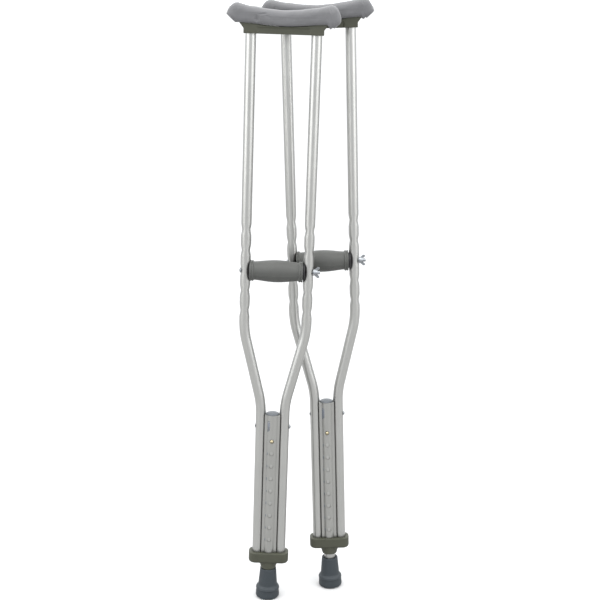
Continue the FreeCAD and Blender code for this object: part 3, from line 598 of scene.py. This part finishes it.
def pinch(height):
    """Depth by which the tube is pressed in on its inner and outer sides at this height."""
    depth = 0.0
    for k in range(-2, 3):
        d = abs(height - GRIP_HEIGHT - k * HOLE_PITCH)
        if d < PINCH_REACH:
            depth = PINCH_DEPTH * math.cos(math.pi / 2 * d / PINCH_REACH) ** 2
    return depth


def side_tube(crutch, side, node, piece):
    """One bent side tube, pinched around the grip's holes, with every hole cut through it."""
    points, uvs, heights = [], [], tube_heights()
    walls = [(h, TUBE_RADIUS) for h in heights] + [(h, TUBE_RADIUS - TUBE_WALL) for h in reversed(heights)]
    for height, radius in walls:
        out, slope = tube_line(height)
        squeeze = pinch(height)
        tilt = math.atan(slope)
        for k in range(TUBE_SIDES):
            a = 2 * math.pi * k / TUBE_SIDES + math.pi / 2
            wide = (radius - squeeze) * math.cos(a)
            deep = (radius + PINCH_BULGE * squeeze) * math.sin(a)
            points.append((side * (out + wide * math.cos(tilt)), deep, height - wide * math.sin(tilt)))
            uvs.append((a * TUBE_RADIUS * MM, height * MM))
    tube = build(crutch, piece, points, sheet_faces(len(walls), TUBE_SIDES, wrap_rows=True), uvs)
    places = [(WIDE_X, GRIP_HEIGHT + k * HOLE_PITCH, GRIP_HOLE_RADIUS) for k in range(-2, 3)]
    places.append((NARROW_X, BOLT_HEIGHT, BOLT_HOLE_RADIUS))
    holes = []
    for x, z, radius in places:
        holes.append(((side * (x - CUTTER_REACH), 0, z), (side * (x + CUTTER_REACH), 0, z), radius))
    cut(tube, rods(crutch, "hole_cutter", holes, 32))
    finish_piece(smooth(tube), crutch.name("frame"), "tube_aluminium", TUBE, crutch.name(node))


# ---------------------------------------------------------------- rubber tip

TIP_BORE, TIP_FLOOR, TIP_SIDES = 11.3, 6.5, 112
# the cone's radius and height at its neck, and how much it widens and falls to the shoulder
NECK_SIZE, NECK_TOP, CONE_FLARE, CONE_FALL, CONE_STEPS = 15.7, 58.5, 2.7, 32.0, 12
FOOT_FLAT, FOOT_ROUND, FOOT_STEPS = 18.5, 4.5, 8
TREAD_RINGS, TREAD_DEPTH, TREAD_MOUTH, TREAD_BOTTOM = (16.0, 12.4, 8.8, 5.2), 0.9, 0.9, 0.6


def rubber_tip(crutch):
    """The boot turned from its profile of (radius, height) pairs, from the bore around to the bore."""
    bore = [(TIP_BORE, TIP_FLOOR), (TIP_BORE, 58.9)]
    lip = [(12.0, 60.4), (12.8, 60.8), (14.4, 60.8), (15.2, 60.5), (15.6, 59.8)]
    cone = []
    for k in range(CONE_STEPS + 1):
        cone.append((NECK_SIZE + CONE_FLARE * k / CONE_STEPS, NECK_TOP - CONE_FALL * k / CONE_STEPS))
    shoulder = [(18.7, 25.4), (19.4, 24.4), (20.5, 23.2), (21.6, 22.2), (22.1, 21.3), (22.3, 20.4)]
    bead = [(22.4, 19.9), (22.8, 19.4), (22.9, 18.9), (22.8, 18.4), (22.3, 18.0)]
    wall = [(22.2, 16.0), (22.3, 13.0), (22.6, 9.0)]
    foot = []
    for k in range(FOOT_STEPS + 1):
        a = math.pi / 2 * k / FOOT_STEPS
        foot.append((FOOT_FLAT + FOOT_ROUND * math.cos(a), FOOT_ROUND - FOOT_ROUND * math.sin(a)))
    treads = []
    for ring in TREAD_RINGS:
        treads += [(ring + TREAD_MOUTH, 0.0), (ring + TREAD_BOTTOM, TREAD_DEPTH)]
        treads += [(ring - TREAD_BOTTOM, TREAD_DEPTH), (ring - TREAD_MOUTH, 0.0)]
    middle = [(2.0, 0.0), (0.02, 0.0), (0.02, TIP_FLOOR), (6.0, TIP_FLOOR)]
    profile = bore + lip + cone + shoulder + bead + wall + foot + treads + middle
    tip = revolve(crutch, "tip_boot", profile, "Z", (0.0, 0.0, -crutch.drop), TIP_SIDES)
    finish_piece(tip, crutch.name("leg"), "tip_rubber", TIP, crutch.name("rubber_tip"))


# ---------------------------------------------------------------- marks on the sleeve

PRINT_SUNK, PRINT_RAISED, PRINT_COLUMNS = 0.05, 0.07, 6
# a thin rule and three bars, down from the sleeve's top, and a tick beside each hole below the first
RULE_LEFT, RULE_RIGHT, RULE_LOW, RULE_HIGH = -8.6, -4.2, 12.4, 11.6
BARS, BAR_WIDTH, BAR_HIGH = ((-8.5, 33.0), (-7.0, 31.5), (-5.5, 30.0)), 0.7, 14.0
TICK_LEFT, TICK_RIGHT, TICK_HALF = -8.3, -7.5, 2.4


def printed_bar(crutch, name, x0, x1, z0, z1):
    """A thin printed bar that follows the round front of the sleeve."""
    points = []
    for radius in (SLEEVE_RADIUS - PRINT_SUNK, SLEEVE_RADIUS + PRINT_RAISED):
        for z in (z0, z1):
            for c in range(PRINT_COLUMNS):
                x = x0 + (x1 - x0) * c / (PRINT_COLUMNS - 1)
                points.append((x, -math.sqrt(radius ** 2 - x * x), z))
    inner, outer = [0, PRINT_COLUMNS], [2 * PRINT_COLUMNS, 3 * PRINT_COLUMNS]
    faces = []
    for c in range(PRINT_COLUMNS - 1):
        for low, high in (inner, outer):
            faces.append((low + c, low + c + 1, high + c + 1, high + c))
        for a, b in zip(inner, outer):
            faces.append((a + c, a + c + 1, b + c + 1, b + c))
    for c in (0, PRINT_COLUMNS - 1):
        faces.append((inner[0] + c, inner[1] + c, outer[1] + c, outer[0] + c))
    bar = build(crutch, name, points, faces)
    finish_piece(bar, crutch.name("frame"), "cap_plastic", INK)


def sleeve_marks(crutch):
    """The rule, the bars and the size ticks printed on the front of the sleeve."""
    low, high = SLEEVE_TOP - RULE_LOW, SLEEVE_TOP - RULE_HIGH
    printed_bar(crutch, "print_rule", RULE_LEFT, RULE_RIGHT, low, high)
    for k, (x, fall) in enumerate(BARS):
        printed_bar(crutch, f"print_bar_{k}", x, x + BAR_WIDTH, SLEEVE_TOP - fall, SLEEVE_TOP - BAR_HIGH)
    for k in range(1, LEG_HOLES):
        z = FIRST_HOLE - crutch.drop - k * LEG_HOLE_PITCH
        printed_bar(crutch, f"print_tick_{k}", TICK_LEFT, TICK_RIGHT, z - TICK_HALF, z + TICK_HALF)


# ---------------------------------------------------------------- both crutches

def paint(crutch, node, material):
    """Give a carried-over CAD node its material."""
    mesh = NODES[crutch.name(node)].data
    mesh.materials.clear()
    mesh.materials.append(material)


def dress(crutch):
    """Every visible piece of one crutch."""
    sleeve = drawn_metal(crutch.name("sleeve_aluminium"), (0.255, 0.255, 0.244), 0.31, turn=-crutch.lean)
    leg = drawn_metal(crutch.name("leg_aluminium"), (0.30, 0.30, 0.289), 0.31, turn=-crutch.lean)
    paint(crutch, "centre_sleeve", sleeve)
    paint(crutch, "leg_tube", leg)
    for node, material in (("button_spring", SPRING), ("tip_washer", ZINC), ("grip_core", BLACK),
                           ("grip_bolt", ZINC), ("grip_washer", ZINC)):
        paint(crutch, node, material)
    for node, piece, body, slot, material, voxel, passes in (
        ("saddle", "saddle_moulding", "frame", "moulded_plastic", PLASTIC, 0.8, 5),
        ("yoke", "yoke_moulding", "frame", "moulded_plastic", PLASTIC, 0.7, 7),
        ("sleeve_cap", "cap_moulding", "frame", "cap_plastic", CAP, 0.35, 3),
        ("bolt_side_cup", "bolt_cup_moulding", "grip", "black_plastic", BLACK, 0.45, 2),
        ("nut_side_cup", "nut_cup_moulding", "grip", "black_plastic", BLACK, 0.45, 2),
        ("wing_nut", "wing_nut_casting", "wing_nut", "zinc_steel", ZINC, 0.22, 4),
        ("cross_bolt", "cross_bolt_head", "frame", "zinc_steel", ZINC, 0.25, 2),
        ("cross_nut", "cross_nut_dome", "frame", "zinc_steel", ZINC, 0.16, 2),
        ("front_button", "front_snap", "front_button", "button_brass", BRASS, 0.18, 3),
        ("rear_button", "rear_snap", "rear_button", "button_brass", BRASS, 0.18, 3),
    ):
        obj = remould(crutch, node, piece, voxel, passes, collar_webs(crutch) if node == "yoke" else None)
        finish_piece(obj, crutch.name(body), slot, material, crutch.name(node))
    underarm_pad(crutch)
    handgrip(crutch)
    side_tube(crutch, -1, "bolt_side_tube", "bolt_tube")
    side_tube(crutch, 1, "nut_side_tube", "nut_tube")
    rubber_tip(crutch)
    sleeve_marks(crutch)


for which in ("left", "right"):
    dress(Crutch(which))


# ---------------------------------------------------------------- studio

FLOOR_REACH, FLOOR_GREY, FLOOR_PALE = 400.0, (0.37, 0.37, 0.37), (0.38, 0.38, 0.38)
SKY_HORIZON, SKY_TOP, SKY_GLOW = (0.57, 0.59, 0.615, 1.0), (1.0, 1.0, 1.0, 1.0), 3.4
# each softbox: its place and the point it faces in m, its width and height in m, and its radiance
SOFTBOXES = (
    ("left_softbox", (-2.2, -1.3, 1.5), (0.0, 0.0, 1.1), 2.3, 2.2, 2.9),
    ("right_softbox", (2.2, -1.3, 1.5), (0.0, 0.0, 1.1), 2.3, 2.2, 2.6),
    ("top_softbox", (0.0, -0.6, 3.4), (0.0, 0.0, 0.6), 2.6, 2.6, 3.0),
)
# the camera's place and how far it sees in m, how far it looks down and its roll, its lens and sensor in mm
CAMERA_PLACE, CAMERA_REACH = (-0.00034, -2.1236, 1.1360), 1000.0
CAMERA_DOWN, CAMERA_ROLL = math.radians(14.269), math.radians(0.227)
LENS, SENSOR = 70.31, 36.0


def floor():
    corners = [(x * FLOOR_REACH, y * FLOOR_REACH, 0) for x, y in ((-1, -1), (1, -1), (1, 1), (-1, 1))]
    mesh = bpy.data.meshes.new("studio_floor")
    mesh.from_pydata(corners, [], [(0, 1, 2, 3)])
    obj = link("studio_floor", mesh)
    made = Surface("studio_floor", FLOOR_GREY, 0.9)
    made.shader.inputs["Specular IOR Level"].default_value = 0.0
    made.shade(made.noise(3.0), FLOOR_PALE).roughen(made.noise(12.0), 0.05)
    made.raise_by(made.noise(300.0), 0.01)
    mesh.materials.append(made.done())


def softbox(name, place, target, width, height, glow):
    """An area light of this radiance facing the target."""
    lamp = bpy.data.lights.new(name, "AREA")
    lamp.shape = "RECTANGLE"
    lamp.size, lamp.size_y = width, height
    lamp.energy = glow * math.pi * width * height
    obj = bpy.data.objects.new(name, lamp)
    bpy.context.scene.collection.objects.link(obj)
    obj.location = place
    obj.rotation_euler = (Vector(target) - Vector(place)).to_track_quat("-Z", "Y").to_euler()


def sky():
    """An even pale surround, brighter overhead."""
    world = bpy.data.worlds.new("studio")
    bpy.context.scene.world = world
    world.use_nodes = True
    tree = world.node_tree
    source = tree.nodes.new("ShaderNodeTexCoord")
    split = tree.nodes.new("ShaderNodeSeparateXYZ")
    ramp = tree.nodes.new("ShaderNodeValToRGB")
    tree.links.new(source.outputs["Generated"], split.inputs["Vector"])
    tree.links.new(split.outputs["Z"], ramp.inputs["Fac"])
    ramp.color_ramp.elements[0].color = SKY_HORIZON
    ramp.color_ramp.elements[1].color = SKY_TOP
    background = tree.nodes["Background"]
    background.inputs["Strength"].default_value = SKY_GLOW
    tree.links.new(ramp.outputs["Color"], background.inputs["Color"])


floor()
sky()
for box in SOFTBOXES:
    softbox(*box)

lens = bpy.data.cameras.new("camera")
lens.sensor_width = SENSOR
lens.lens = LENS
lens.clip_end = CAMERA_REACH
camera = bpy.data.objects.new("camera", lens)
bpy.context.scene.collection.objects.link(camera)
camera.matrix_world = (Matrix.Translation(CAMERA_PLACE)
                       @ Matrix.Rotation(math.pi / 2 - CAMERA_DOWN, 4, "X")
                       @ Matrix.Rotation(CAMERA_ROLL, 4, "Z"))
bpy.context.scene.camera = camera
bpy.context.scene.view_settings.view_transform = "Standard"
